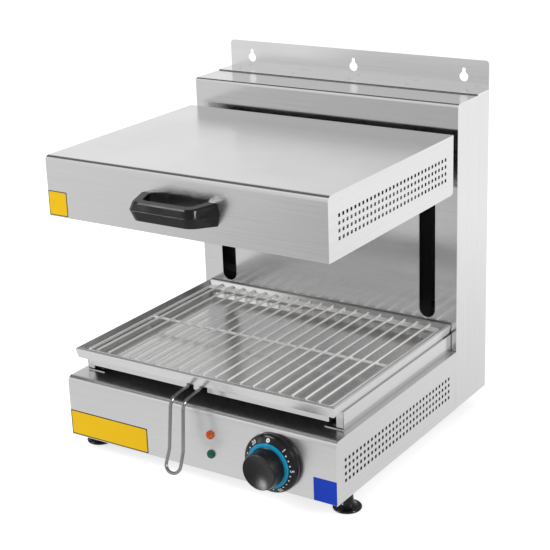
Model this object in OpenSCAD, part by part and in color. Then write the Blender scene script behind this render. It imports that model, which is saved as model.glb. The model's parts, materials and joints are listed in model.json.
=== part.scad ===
// Cheese melter: a countertop grill whose heated hood rides up and down a wall column
// over a drip tray and a wire grid.
// x runs to the right, y from the front panel towards the wall, z up.
// The modules are drawn from the base's front lower edge; in_frame() moves them so that
// the origin is on the worktop, under the middle of the whole grill.

/* [Base] */
// Width of the base and of the hood
body_w = 451; // [440:1:460]
// Height of the base, from its underside to the deck
base_h = 92; // [90:1:96]
// Depth of the base, from its front panel to the column
base_d = 346.5; // [344:0.5:350]
// Bend radius along the front edge of the deck
deck_bend = 8; // [4:0.5:10]
// Thickness of the sheet metal
sheet = 1; // [0.8:0.1:1.2]
// Height of the adjustable feet under the base
foot_h = 26; // [20:1:30]

/* [Column] */
// Width of the column
column_w = 450; // [446:1:456]
// Depth of the column
column_d = 100.5; // [98:0.5:104]
// Height of the column above the underside of the base
column_h = 463; // [460:1:470]
// Width of the two upright slots
slot_w = 26; // [24:1:28]
// Distance of each slot from the middle
slot_x = 177; // [170:1:180]
// Height of the wall flange above the column
flange_h = 43; // [38:1:48]
// Spacing of the three keyholes in the wall flange
keyhole_pitch = 185; // [160:1:190]

/* [Hood] */
// Height of the hood's walls
hood_h = 86; // [84:1:90]
// Depth of the hood
hood_d = 338.4; // [334:0.2:340]
// How far the hood's front stands in front of the base
hood_lead = 7; // [5:1:10]
// Height of the hood's lower edge above the underside of the base, as shown
hood_z = 337; // [335:1:339]
// How far the hood can come down
travel_down = 185; // [150:1:185]
// How far the hood can go up
travel_up = 10; // [5:1:10]

/* [Ventilation] */
// Side of each square hole
vent_hole = 4.8; // [4:0.1:6]
// Distance between the holes
vent_pitch = 9.95; // [9:0.05:10]
// Columns of holes in the hood's sides
hood_vents = 30; // [20:1:30]
// Columns of holes in the base's sides
base_vents = 31; // [20:1:31]

/* [Tray and grid] */
// Height of the tray's rim above the underside of the base
rim_z = 135.3; // [134.9:0.1:136]
// Width of the tray over its rim
tray_w = 434; // [430:1:434]
// Depth of the tray over its rim
tray_d = 334.4; // [328:0.2:334.4]
// Number of long wires in the grid
grid_wires = 19; // [11:2:21]
// Distance between the long wires
grid_pitch = 20.7; // [18:0.1:20.8]
// Diameter of the long wires
wire_d = 3.4; // [3:0.1:4]
// Diameter of the rods under them
rod_d = 4.6; // [4:0.1:5]

/* [Controls] */
// Height of the knob's axis above the underside of the base
knob_z = 42.5; // [41:0.5:46]
// Distance of the knob's axis from the middle
knob_x = 129; // [110:1:140]
// Diameter of the scale plate behind the knob
scale_d = 84; // [80:1:88]

/* [Hidden] */
$fn = 48;

steel = [0.78, 0.79, 0.80];
inner_steel = [0.62, 0.63, 0.64];
black = [0.07, 0.07, 0.08];
bend_steps = 6;
fit_gap = 0.05;

// Main planes
side_x = body_w / 2;
column_x = column_w / 2;
column_y = base_d;
wall_y = column_y + column_d;
hood_y = -hood_lead;
hood_back_y = hood_y + hood_d;
hood_top = hood_z + hood_h;
deck_gap = 1.2;

// The hood's handle
handle_front_w = 92;
handle_rear_w = 120;
handle_reach = 40.5;
handle_ridge = 4.5;
handle_low = 362;
handle_ridge_z = 377.7;
handle_shoulder = 391.3;
handle_high = 393;
handle_wall = 8;
handle_front_wall = 11;
handle_screw_x = 54;

// The lift: rods, blocks and stops
rod_r = 7;
rod_y = 386;
block_low = 335;
block_high = 405;
bush_wall = 2.5;
bush_h = 20;
buffer_h = 6;
bracket_h = 12;
low_bracket = block_low - travel_down - buffer_h - bracket_h - 0.5;
high_bracket = block_high + travel_up + buffer_h + 0.5;
slot_low = 138.5;
slot_high = 415;
arm_low = 345;
arm_high = 395;
drum_x = 90;
drum_r = 18;
drum_z = 438;
drum_w = 20;
ribbon_t = 0.6;
spindle_r = 4;
bar_low = 380;
bar_high = 400;

// Tray, channels and grid; the pan is measured inwards from the rim's widest line
tray_rear_y = 345.6;
tray_mid_y = tray_rear_y - tray_d / 2;
tray_front_y = tray_rear_y - tray_d;
tray_sheet = 0.8;
rim_low = 119;
wall_top_u = -3.4;
wall_foot_u = -21;
pan_z = 113.5;
channel_x = 216.7;
channel_lip = 12;
channel_front = 36;
channel_rear = 345;
channel_top = 118.6;
foot_flange = 30;
apron_x = [-188, 206];
notches = [[-21.5, -10], [0, 13]];
pull_x = -6.5;
wire_pull_r = 2.4;
grid_inset = 12.7;
grid_x = tray_w / 2 - grid_inset;
grid_front_y = tray_front_y + grid_inset;
grid_rear_y = tray_rear_y - grid_inset;
grid_second_y = grid_rear_y - 7;
grid_middle_y = 178;
rods_z = 128;
weld = 0.3;
wires_z = rods_z + rod_d / 2 + wire_d / 2 - weld;

// Controls and fittings
lamp_x = 25.2;
lamp_high = 57;
lamp_low = 28;
scale_t = 12;
slope_top = 15;
ring_r = 32;
knob_r = 27;
knob_gap = 0.5;
shaft_r = 3;
foot_x = 213;
foot_front_y = 46;
foot_rear_x = 165;
foot_rear_y = 405;
foot_r = 20;
stud_r = 4;
gland_x = 150;
gland_z = 45;
gland_bore = 5;
gland_reach = 12;

// Heating elements
tube_r = 4;
run_pitch = 34;
run_half = 150;
tube_z = 352;
ceiling_z = 372;
first_run_y = 41;
stub_bend = 12;
stub_x = -run_half - stub_bend;
support_x = [-120, 0, 120];
support_y = [first_run_y + run_pitch / 2, first_run_y + 6.5 * run_pitch];

// Middle of the whole grill, front to rear
front_y = hood_y - handle_reach - handle_ridge;
rear_y = wall_y + gland_reach;
middle_y = (front_y + rear_y) / 2;

module in_frame() { translate([0, -middle_y, foot_h]) children(); }

// ---- sheet metal folded along a path of [a, b, bend radius] ----

function flat(p) = [p[0], p[1]];
function unit(v) = v / norm(v);
function left_of(v) = [-v.y, v.x];
function turned(v, a) = [v.x * cos(a) - v.y * sin(a), v.x * sin(a) + v.y * cos(a)];
function reversed(list) = [for (i = [len(list) - 1:-1:0]) list[i]];

// The arc of one bend, shifted to the left of the path by off
function bend(p, q, s, off) =
    let (
        u = unit(flat(q) - flat(p)),
        v = unit(flat(s) - flat(q)),
        side = u.x * v.y - u.y * v.x < 0 ? -1 : 1,
        angle = acos(max(-1, min(1, u * v))),
        reach = q[2] * tan(angle / 2),
        centre = flat(q) - reach * u + side * q[2] * left_of(u),
        arm = -side * max(0.01, q[2] - side * off) * left_of(u)
    )
    [for (i = [0:bend_steps]) centre + turned(arm, side * angle * i / bend_steps)];

function edge_line(path, off) =
    let (last = len(path) - 1)
    concat(
        [flat(path[0]) + off * left_of(unit(flat(path[1]) - flat(path[0])))],
        [for (i = [1:last - 1]) each bend(path[i - 1], path[i], path[i + 1], off)],
        [flat(path[last]) + off * left_of(unit(flat(path[last]) - flat(path[last - 1])))]
    );

// A folded strip between the path and a line t to its left (negative: right)
module folded(path, t) {
    polygon(concat(edge_line(path, 0), reversed(edge_line(path, t))));
}

module along_x(x0, x1) {
    translate([x0, 0, 0]) rotate([90, 0, 90]) linear_extrude(x1 - x0) children();
}

module along_y(y0, y1) {
    translate([0, y1, 0]) rotate([90, 0, 0]) linear_extrude(y1 - y0) children();
}

module along_z(z0, z1) {
    translate([0, 0, z0]) linear_extrude(z1 - z0) children();
}

module box(low, high) { translate(low) cube(high - low); }

module bar_x(r, x0, x1, y, z) {
    translate([x0, y, z]) rotate([0, 90, 0]) cylinder(h = x1 - x0, r = r);
}

module bar_y(r, y0, y1, x, z) {
    translate([x, y1, z]) rotate([90, 0, 0]) cylinder(h = y1 - y0, r = r);
}

module bar_z(r, z0, z1, x, y) {
    translate([x, y, z0]) cylinder(h = z1 - z0, r = r);
}

// A turned part on an axis along y, its outline given as [radius, distance in front]
module turned_y(x, y, z) {
    translate([x, y, z]) rotate([90, 0, 0]) rotate_extrude() children();
}

// A round rod along a path of [x, y, z, bend radius]; where lap is given, the straight
// stretches run that far into the bends, which are a hair thicker
module rod_path(r, path, lap = 0) {
    last = len(path) - 1;
    bend_r = r + (lap > 0 ? 0.04 : 0);
    for (i = [1:last]) {
        u = unit(point(path, i) - point(path, i - 1));
        start = point(path, i - 1) + (i > 1 ? bend_reach(path, i - 1) - lap : 0) * u;
        end = point(path, i) - (i < last ? bend_reach(path, i) - lap : 0) * u;
        if (norm(end - start) > 0.01) bar(start, end, r);
    }
    for (i = [1:last - 1]) elbow(point(path, i - 1), path[i], point(path, i + 1), bend_r);
}

function point(path, i) = [path[i][0], path[i][1], path[i][2]];

function bend_reach(path, i) =
    let (
        u = unit(point(path, i) - point(path, i - 1)),
        v = unit(point(path, i + 1) - point(path, i))
    )
    path[i][3] * tan(acos(u * v) / 2);

module bar(from, to, r) {
    v = to - from;
    translate(from) rotate([0, acos(v.z / norm(v)), atan2(v.y, v.x)])
        cylinder(h = norm(v), r = r);
}

// The bend at corner, a slice of a ring turned into the plane of its two legs
module elbow(before, corner, after, r) {
    q = [corner[0], corner[1], corner[2]];
    u = unit(q - before);
    v = unit(after - q);
    angle = acos(u * v);
    axis = unit(cross(u, v));
    inward = cross(axis, u);
    c = q - corner[3] * tan(angle / 2) * u + corner[3] * inward;
    multmatrix([
        [-inward.x, u.x, axis.x, c.x],
        [-inward.y, u.y, axis.y, c.y],
        [-inward.z, u.z, axis.z, c.z],
    ]) rotate_extrude(angle = angle) translate([corner[3], 0]) circle(r = r);
}

module mirrored_pair() {
    children();
    mirror([1, 0, 0]) children();
}

// Four lengths of one profile, mitred at the corners; u = 0 is the outer edge
module mitred_frame(half_x, half_y) {
    for (turn = [0, 180]) rotate(turn) frame_side(half_x, half_y) children();
    for (turn = [90, 270]) rotate(turn) frame_side(half_y, half_x) children();
}

module frame_side(reach, half) {
    over = 10;
    deep = 60;
    intersection() {
        translate([reach, 0, 0]) along_y(-half - over, half + over) children();
        along_z(0, 600) polygon([
            [reach + over, -half - over],
            [reach + over, half + over],
            [reach - deep, half - deep],
            [reach - deep, deep - half],
        ]);
    }
}

// Rows of square ventilation holes, in the plane of a side panel
module vent_rows(columns, first_y, first_z) {
    for (i = [0:columns - 1], row = [0:3])
        translate([first_y + i * vent_pitch, first_z + row * vent_pitch])
            square(vent_hole, center = true);
}

// A side panel's outline with rounded corners: front top and rear bottom
module side_outline(y0, y1, z0, z1, top_r, rear_r) {
    difference() {
        translate([y0, z0]) square([y1 - y0, z1 - z0]);
        translate([y0, z1]) corner_cut(top_r, 1, -1);
        translate([y1, z0]) corner_cut(rear_r, -1, 1);
    }
}

module corner_cut(r, toward_a, toward_b) {
    over = 1;
    difference() {
        translate([toward_a < 0 ? -r : -over, toward_b < 0 ? -r : -over]) square(r + over);
        translate([toward_a * r, toward_b * r]) circle(r = r);
    }
}

// ---- base ----

module base_shell() {
    panel_hole = 4.5;
    color(steel) difference() {
        along_x(sheet - side_x, side_x - sheet)
            folded([
                [14, 0, 0],
                [0, 0, 1.5],
                [0, base_h, deck_bend],
                [base_d - deck_gap, base_h, 0],
            ], -sheet);
        bar_y(panel_hole, -1, 12, knob_x, knob_z);
        for (z = [lamp_low, lamp_high]) bar_y(panel_hole + 0.6, -1, 12, lamp_x, z);
    }
}

module base_side() {
    flange = 8;
    color(steel) {
        along_x(side_x - sheet, side_x) difference() {
            side_outline(0, base_d - deck_gap, 0, base_h, deck_bend, 0.01);
            vent_rows(base_vents, 23.2, 28.2);
        }
        box([side_x - flange, 30, 0], [side_x - sheet, base_d - 10, sheet]);
        box([side_x - flange, 30, base_h - 2 * sheet], [side_x - sheet, base_d - 10, base_h - sheet]);
    }
}

module base_side_right() { base_side(); }
module base_side_left() { mirror([1, 0, 0]) base_side(); }

module foot_places() {
    for (s = [-1, 1]) {
        translate([s * foot_x, foot_front_y, 0]) children();
        translate([s * foot_rear_x, foot_rear_y, 0]) children();
    }
}

module base_floor() {
    slit = 60;
    color(inner_steel) difference() {
        box([-223.5, 2.2, sheet], [223.5, wall_y - 2 * sheet, 2 * sheet]);
        foot_places() translate([0, 0, -1]) cylinder(h = 10, r = stud_r + 0.3);
        for (x = [-120, 0, 120], y = [120:14:232])
            box([x - slit / 2, y - 2, 0], [x + slit / 2, y + 2, 5]);
    }
}

// A foot: wide plastic disc, domed neck and a steel stud moulded in
module foot(x, y) {
    color(black) translate([x, y, 0]) rotate_extrude() polygon(concat(
        [[0, -foot_h], [foot_r - 2, -foot_h]],
        [for (a = [-90:22.5:90]) [foot_r - 2 + 2 * cos(a), -foot_h + 2 + 2 * sin(a)]],
        [for (a = [0:15:90]) [9 + (foot_r - 11) * (1 - sin(a)), -foot_h + 4 + 8 * (1 - cos(a))]],
        [[8, -2.5], [stud_r, -2.5], [stud_r, 16], [0, 16]]
    ));
}

module foot_front_left() { foot(-foot_x, foot_front_y); }
module foot_front_right() { foot(foot_x, foot_front_y); }
module foot_rear_left() { foot(-foot_rear_x, foot_rear_y); }
module foot_rear_right() { foot(foot_rear_x, foot_rear_y); }

module foot_nuts() {
    color(inner_steel) foot_places() difference() {
        translate([0, 0, 2 * sheet]) cylinder(h = 6.5, r = 7.5, $fn = 6);
        cylinder(h = 20, r = stud_r);
    }
}

// ---- column ----

module column_front() {
    color(steel) difference() {
        along_x(sheet - column_x, column_x - sheet)
            folded([
                [column_y, base_h - 20, 0],
                [column_y, column_h, 5],
                [wall_y - sheet, column_h, 0],
            ], -sheet);
        for (x = [-slot_x, slot_x]) slot_cut(x);
    }
}

module slot_cut(x) {
    round_z = [slot_low + slot_w / 2, slot_high - slot_w / 2];
    box([x - slot_w / 2, column_y - 2, round_z[0]], [x + slot_w / 2, column_y + 3, round_z[1]]);
    for (z = round_z) bar_y(slot_w / 2, column_y - 2, column_y + 3, x, z);
}

module column_side() {
    fold = 12;
    color(steel) {
        along_x(column_x - sheet, column_x)
            side_outline(column_y, wall_y, 0, column_h, 5, 0.01);
        box([column_x - fold, wall_y - 2 * sheet, 12], [column_x - sheet, wall_y - sheet, column_h - 12]);
    }
}

module column_side_right() { column_side(); }
module column_side_left() { mirror([1, 0, 0]) column_side(); }

module column_back() {
    color(steel) difference() {
        box([sheet - column_x, wall_y - sheet, 0], [column_x - sheet, wall_y, column_h - sheet]);
        bar_y(10, wall_y - 5, wall_y + 5, gland_x, gland_z);
    }
}

// L-shaped bracket on top of the column: foot on the top sheet, flange against the wall
module wall_bracket() {
    bracket_t = 1.5;
    foot_d = 37;
    top_r = 6;
    color(steel) {
        difference() {
            along_y(wall_y - bracket_t, wall_y) difference() {
                translate([-column_x, column_h]) square([column_w, flange_h]);
                for (s = [0, 1]) mirror([s, 0]) translate([column_x, column_h + flange_h])
                    corner_cut(top_r, -1, -1);
            }
            for (i = [-1:1]) keyhole(i * keyhole_pitch);
        }
        box([-column_x, wall_y - foot_d, column_h], [column_x, wall_y - bracket_t, column_h + bracket_t]);
    }
}

module keyhole(x) {
    head_r = 7;
    neck_r = 2.75;
    low = column_h + 17;
    bar_y(head_r, wall_y - 5, wall_y + 5, x, low);
    bar_y(neck_r, wall_y - 5, wall_y + 5, x, low + 10.5);
    box([x - neck_r, wall_y - 5, low], [x + neck_r, wall_y + 5, low + 10.5]);
}

// ---- tray channels ----

// Outer wall, narrow lip under the tray's rim, wide flange on the deck, folded front end
module tray_channel() {
    rear_cut = 20;
    top = channel_top;
    color(steel) difference() {
        union() {
            along_y(channel_front, channel_rear)
                folded([
                    [channel_x - foot_flange, base_h + sheet, 0],
                    [channel_x - sheet, base_h + sheet, 0.01],
                    [channel_x - sheet, top - sheet, 0.01],
                    [channel_x - channel_lip, top - sheet, 0],
                ], -sheet);
            box([channel_x - channel_lip, channel_front, base_h + 3],
                [channel_x - 1.6, channel_front + sheet, top - sheet]);
        }
        box([channel_x - channel_lip - 1, channel_rear - rear_cut, top - 2.5],
            [channel_x - sheet, channel_rear + 1, top + 1]);
    }
}

module tray_channel_right() { tray_channel(); }
module tray_channel_left() { mirror([1, 0, 0]) tray_channel(); }

// ---- controls ----

// Bulging rim, a sloping ring for the figures, and a recess for the blue ring
module scale_plate() {
    rim = scale_d / 2;
    color(black) turned_y(knob_x, 0, knob_z) polygon([
        [8, 0], [rim - 1.8, 0], [rim - 0.5, 2.5], [rim, 5], [rim - 0.1, 7.5], [rim - 0.9, 9.8],
        [rim - 2.2, 11.4], [rim - 3.2, 12], [ring_r + 1.2, slope_top], [ring_r + 0.6, slope_top],
        [ring_r + 0.6, scale_t], [8, scale_t],
    ]);
}

module lens(z) {
    dome_r = 5.8;
    turned_y(lamp_x, 0, z) polygon(concat(
        [[0, 0], [6.2, 0], [6.2, 0.8], [5.9, 1]],
        [for (a = [0:15:90]) [dome_r * cos(a), 2.6 + 2 * sin(a)]]
    ));
}

module lamp_lens_amber() { color("darkorange") lens(lamp_high); }
module lamp_lens_green() { color("seagreen") lens(lamp_low); }

module lamp_bodies() {
    color(black) for (z = [lamp_low, lamp_high]) {
        bar_y(5, 0, 24, lamp_x, z);
        bar_y(7, 1, 4, lamp_x, z);
        for (dx = [-2.5, 2.5]) box([lamp_x + dx - 0.4, 24, z - 1.5], [lamp_x + dx + 0.4, 32, z + 1.5]);
    }
}

module power_regulator() {
    color(inner_steel) difference() {
        union() {
            box([knob_x - 22, 8, knob_z - 22], [knob_x + 22, 44, knob_z + 22]);
            box([knob_x - 26, 6.5, knob_z - 14], [knob_x + 26, 8, knob_z + 14]);
            for (x = [knob_x - 24, knob_x + 24]) bar_y(3, 1, 6.5, x, knob_z);
            for (x = [-12, 0, 12]) box([knob_x + x - 3, 44, knob_z + 4], [knob_x + x + 3, 52, knob_z + 5]);
        }
        bar_y(shaft_r + fit_gap, 0, 30, knob_x, knob_z);
    }
}

module terminal_block() {
    color("ivory") difference() {
        box([gland_x - 30, 250, 2 * sheet], [gland_x + 30, 272, 20]);
        for (i = [-2:2]) bar_z(3.2, 12, 21, gland_x + i * 11, 256);
        for (i = [-2:2]) bar_z(3.2, 12, 21, gland_x + i * 11, 266);
    }
}

module cable_gland() {
    color(black) difference() {
        union() {
            bar_y(13, wall_y, wall_y + 5, gland_x, gland_z);
            bar_y(10.5, wall_y + 5, wall_y + gland_reach, gland_x, gland_z);
            bar_y(9.9, wall_y - 14, wall_y, gland_x, gland_z);
            translate([gland_x, wall_y - sheet, gland_z]) rotate([90, 0, 0])
                cylinder(h = 5, r = 14.5, $fn = 6);
        }
        bar_y(gland_bore, wall_y - 20, wall_y + 20, gland_x, gland_z);
    }
}

// Grip that widens to a shoulder, a sloping cap and a hollowed face
module control_knob() {
    rear = scale_t + knob_gap;
    face_y = 39.2;
    hollow = 6.3;
    hollow_r = 24;
    color(black) difference() {
        turned_y(knob_x, 0, knob_z) polygon(concat(
            [[0, rear], [knob_r, rear], [knob_r, 16.8], [25.6, 18.2], [26.2, 31.4], [26.8, 32],
             [26.6, 33], [25.5, 37.6], [25.2, 38.5], [24.7, face_y - 0.1], [hollow_r + 0.4, face_y]],
            [for (r = [hollow_r:-3:0]) [r, face_y - hollow * (1 - pow(r / hollow_r, 2))]]
        ));
        bar_y(shaft_r, -24, 0, knob_x, knob_z);
    }
}

// Blue ring round the knob's foot, its pointer lying over the scale plate
module knob_ring() {
    face_y = 17.4;
    color("deepskyblue") {
        turned_y(knob_x, 0, knob_z) polygon([
            [knob_r, scale_t + knob_gap], [ring_r, scale_t + knob_gap], [ring_r, face_y - 0.9],
            [ring_r - 0.9, face_y], [knob_r, face_y],
        ]);
        translate([knob_x, 0, knob_z]) rotate([90, 0, 0])
            translate([0, 0, slope_top + 0.4]) linear_extrude(face_y - slope_top - 0.9)
                polygon([[-3, ring_r - 1], [3, ring_r - 1], [0, ring_r + 2.7]]);
    }
}

module regulator_shaft() {
    color(inner_steel) bar_y(shaft_r, -24, 28, knob_x, knob_z);
}

// ---- lift inside the column ----

module guide_rod(x) {
    color(steel) bar_z(rod_r, low_bracket - 4, high_bracket + bracket_h + 4, x, rod_y);
}

module guide_rod_left() { guide_rod(-slot_x); }
module guide_rod_right() { guide_rod(slot_x); }

// Blocks screwed to the column's sides, one at each end of each rod
module rod_brackets() {
    lug_r = 14;
    color(inner_steel) mirrored_pair() for (z = [low_bracket, high_bracket])
        along_z(z, z + bracket_h) difference() {
            union() {
                translate([slot_x, rod_y]) circle(r = lug_r);
                translate([slot_x, rod_y - lug_r]) square([column_x - sheet - slot_x, 2 * lug_r]);
            }
            translate([slot_x, rod_y]) circle(r = rod_r);
        }
}

module lift_buffers() {
    color(black) mirrored_pair()
        for (z = [low_bracket + bracket_h, high_bracket - buffer_h])
            along_z(z, z + buffer_h) translate([slot_x, rod_y]) difference() {
                circle(r = 12);
                circle(r = rod_r);
            }
}

// Cheeks that carry the spindles of the two constant-force springs
module balance_bracket() {
    cheek = 2;
    color(inner_steel) mirrored_pair() {
        for (x = [drum_x - drum_w / 2 - 1 - cheek, drum_x + drum_w / 2 + 1])
            box([x, rod_y - 6, drum_z - 14], [x + cheek, rod_y + 22, column_h - 2 * sheet]);
        box([drum_x - 20, rod_y - 6, column_h - 2 * sheet], [drum_x + 20, rod_y + 22, column_h - sheet]);
        bar_x(spindle_r, drum_x - drum_w / 2 - 3, drum_x + drum_w / 2 + 3, rod_y + 6, drum_z);
    }
}

module balance_drum(x) {
    color("slategray") difference() {
        bar_x(drum_r, x - drum_w / 2, x + drum_w / 2, rod_y + 6, drum_z);
        bar_x(spindle_r + fit_gap, x - drum_w, x + drum_w, rod_y + 6, drum_z);
    }
}

module balance_drum_left() { balance_drum(-drum_x); }
module balance_drum_right() { balance_drum(drum_x); }

// Spring ribbons, paid out by the drums to the carriage bar
module balance_ribbons() {
    y = rod_y + 6 - drum_r - ribbon_t - 0.3;
    color("silver") mirrored_pair()
        box([drum_x - 8, y, bar_high], [drum_x + 8, y + ribbon_t, drum_z]);
}

// ---- hood ----

module hood_shell() {
    color(steel) difference() {
        along_x(sheet - side_x, side_x - sheet)
            folded([
                [hood_y + 12, hood_z, 0],
                [hood_y, hood_z, 1.5],
                [hood_y, hood_top, 7],
                [hood_back_y, hood_top, 0],
            ], -sheet);
        for (x = [-handle_screw_x, handle_screw_x])
            bar_y(2.6, hood_y - 1, hood_y + 3, x, handle_ridge_z);
    }
}

module hood_side() {
    color(steel) {
        along_x(side_x - sheet, side_x) difference() {
            side_outline(hood_y, hood_back_y, hood_z, hood_top, 7, 6);
            vent_rows(hood_vents, 19, 363.3);
        }
        box([side_x - 8, 20, hood_top - 2 * sheet], [side_x - sheet, hood_back_y - 20, hood_top - sheet]);
    }
}

module hood_side_right() { hood_side(); }
module hood_side_left() { mirror([1, 0, 0]) hood_side(); }

module hood_back() {
    color(steel) along_x(sheet - side_x, side_x - sheet)
        folded([
            [hood_back_y - 14, hood_z, 0],
            [hood_back_y, hood_z, 6],
            [hood_back_y, hood_top - sheet, 0],
        ], sheet);
}

// Polished pan over the heating elements: flat rim, sloping sides, flat ceiling
module reflector() {
    half_x = side_x - sheet;
    front = hood_y + 2.5;
    rear = hood_back_y - 7;
    half_y = (rear - front) / 2;
    low = hood_z + sheet;
    rim_u = -16;
    ceiling_u = -36;
    lap = ceiling_u - 9;
    color("gainsboro") difference() {
        translate([0, (front + rear) / 2, 0]) {
            mitred_frame(half_x, half_y) folded([
                [0, low, 0],
                [rim_u, low, 1.5],
                [ceiling_u, ceiling_z, 3],
                [lap - 5, ceiling_z, 0],
            ], -sheet);
            box([-half_x - lap, -half_y - lap, ceiling_z],
                [half_x + lap, half_y + lap, ceiling_z + sheet]);
        }
        for (i = [0, 3, 4, 7]) bar_z(tube_r + 1.5, ceiling_z - 3, ceiling_z + 3, stub_x, run_y(i));
        for (x = support_x, y = support_y) bar_z(2.5, ceiling_z - 3, ceiling_z + 3, x, y);
    }
}

function run_y(i) = first_run_y + i * run_pitch;

// One tube folded into four runs, both ends turned up through the reflector
module heating_element(first) {
    end_x = run_half + run_pitch / 2;
    top = ceiling_z + 16;
    loop_r = run_pitch / 2;
    color([0.28, 0.28, 0.30]) rod_path(tube_r, concat(
        [[stub_x, run_y(first), top, 0], [stub_x, run_y(first), tube_z, stub_bend]],
        [for (i = [0:2], s = [0, 1])
            [(i % 2 == 0 ? 1 : -1) * end_x, run_y(first + i + s), tube_z, loop_r]],
        [[stub_x, run_y(first + 3), tube_z, stub_bend], [stub_x, run_y(first + 3), top, 0]]
    ));
}

module heating_element_front() { heating_element(0); }
module heating_element_rear() { heating_element(4); }

// Flat bars over the tubes, hung from the reflector, with a ring round each run
module element_supports() {
    ring_r = tube_r + 1.4;
    half_w = 6;
    color(inner_steel) for (x = support_x) difference() {
        union() {
            box([x - half_w, run_y(0) - 10, tube_z + tube_r + 0.1],
                [x + half_w, run_y(7) + 10, tube_z + tube_r + 1.7]);
            for (i = [0:7]) bar_x(ring_r, x - half_w, x + half_w, run_y(i), tube_z);
            for (y = support_y) bar_z(2.5, tube_z + tube_r + 1, ceiling_z + 5, x, y);
        }
        for (i = [0:7]) bar_x(tube_r, x - 10, x + 10, run_y(i), tube_z);
    }
}

module element_insulators() {
    color("ivory") for (i = [0, 3, 4, 7]) difference() {
        bar_z(9, ceiling_z + sheet, ceiling_z + 9, stub_x, run_y(i));
        bar_z(tube_r, ceiling_z, ceiling_z + 10, stub_x, run_y(i));
    }
}

// Plan of the handle: a trapezium with round front corners, grown by g
function handle_plan(g) = edge_line([
    [-handle_rear_w / 2 - g, hood_y, 0],
    [-handle_front_w / 2 - g, hood_y - handle_reach - g, 15],
    [handle_front_w / 2 + g, hood_y - handle_reach - g, 15],
    [handle_rear_w / 2 + g, hood_y, 0],
], 0);

// A thin slice of the handle, z high at the hood and tilted by rise for every mm forward
module handle_slice(z, g, rise) {
    slice = 0.2;
    multmatrix([
        [1, 0, 0, 0],
        [0, 1, 0, 0],
        [0, -rise, 1, z - slice / 2 + rise * hood_y],
    ]) linear_extrude(slice) polygon(handle_plan(g));
}

module handle_underside() { handle_slice(handle_low, 0, 0.125); }
module handle_ridge_line() { handle_slice(handle_ridge_z, handle_ridge, 0.075); }
module handle_shoulder_line() { handle_slice(handle_shoulder, 1.3, -0.03); }
module handle_top() { handle_slice(handle_high, -0.8, -0.03); }

module hood_handle() {
    inner_front = handle_front_w / 2 - handle_wall;
    inner_rear = handle_rear_w / 2 - handle_wall - 4;
    inner_front_y = hood_y - handle_reach + handle_front_wall;
    color(black) difference() {
        union() {
            hull() { handle_underside(); handle_ridge_line(); }
            hull() { handle_ridge_line(); handle_shoulder_line(); }
            hull() { handle_shoulder_line(); handle_top(); }
        }
        along_z(handle_low - 1, handle_high + 1) polygon(edge_line([
            [-inner_rear, hood_y + 1, 0],
            [-inner_front, inner_front_y, 9],
            [inner_front, inner_front_y, 9],
            [inner_rear, hood_y + 1, 0],
        ], 0));
        for (x = [-handle_screw_x, handle_screw_x])
            bar_y(2.5, hood_y - 14, hood_y + 1, x, handle_ridge_z);
    }
}

module handle_screws() {
    color(steel) mirrored_pair() turned_y(handle_screw_x, hood_y + sheet, handle_ridge_z)
        polygon([[0, -2.6], [2.5, -2.4], [4.6, -1.2], [4.8, 0], [2.5, 0], [2.5, 14.5], [0, 14.5]]);
}

// Arm: a plate on the hood's back, a web through the slot, a block round the rod
module carriage_arm() {
    web = 7;
    block_half = 17;
    color(inner_steel) difference() {
        union() {
            box([slot_x - 20, hood_back_y, arm_low], [slot_x + 20, hood_back_y + 3, arm_high]);
            box([slot_x - web, hood_back_y, arm_low], [slot_x + web, rod_y, arm_high]);
            box([slot_x - block_half, rod_y - block_half, block_low],
                [slot_x + block_half, rod_y + block_half, block_high]);
        }
        bar_z(rod_r + bush_wall, block_low - 1, block_high + 1, slot_x, rod_y);
    }
}

module carriage_arm_right() { carriage_arm(); }
module carriage_arm_left() { mirror([1, 0, 0]) carriage_arm(); }

module carriage_bar() {
    y = rod_y + 6 - drum_r - ribbon_t - 0.3;
    color(inner_steel) box([17 - slot_x, y - 1, bar_low], [slot_x - 17, y + 7, bar_high]);
}

module guide_bushes() {
    color("peru") mirrored_pair() for (z = [block_low, block_high - bush_h]) difference() {
        bar_z(rod_r + bush_wall, z, z + bush_h, slot_x, rod_y);
        bar_z(rod_r + fit_gap, z - 1, z + bush_h + 1, slot_x, rod_y);
    }
}

// ---- tray and grid ----

// Shallow pan with flared sides and a rim folded down all round
module drip_tray() {
    half_x = tray_w / 2;
    half_y = tray_d / 2;
    lap = wall_foot_u - 8;
    color(steel) translate([0, tray_mid_y, 0]) {
        mitred_frame(half_x, half_y) folded([
            [lap - 5, pan_z, 0],
            [wall_foot_u, pan_z, 1.5],
            [wall_top_u, rim_z, 1.2],
            [0, rim_z - 2.6, 1],
            [-2.8, rim_low, 0],
        ], -tray_sheet);
        box([-half_x - lap, -half_y - lap, pan_z - tray_sheet],
            [half_x + lap, half_y + lap, pan_z]);
    }
}

// Strip under the front rim, notched where the two legs of the wire pull come out
module tray_apron() {
    front = tray_front_y + 3.8;
    low = 111.5;
    high = 125;
    color(steel) difference() {
        along_x(apron_x[0], apron_x[1])
            folded([[front, low, 0], [front, high, 1], [front + 6.8, high, 0]], -tray_sheet);
        for (n = notches) box([n[0], front - 1, low - 1], [n[1], front + 3, low + 9.5]);
    }
}

// Bent wire pull: two legs from under the pan, over the deck's edge and down the front,
// kicked out at the foot to take a finger
module tray_pull() {
    leg_start = [10.3, 25, 117.2, 0];
    leg_bend = [10.5, -29, 112, 14];
    knee = [11.5, -36.5, 42, 12];
    foot_bend = [12.5, -49, 12.9, 11.5];
    color(steel) translate([pull_x, 0, 0]) rod_path(wire_pull_r, [
        leg_start, leg_bend, knee, foot_bend,
        opposite(foot_bend), opposite(knee), opposite(leg_bend), opposite(leg_start),
    ], 0.3);
}

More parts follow.
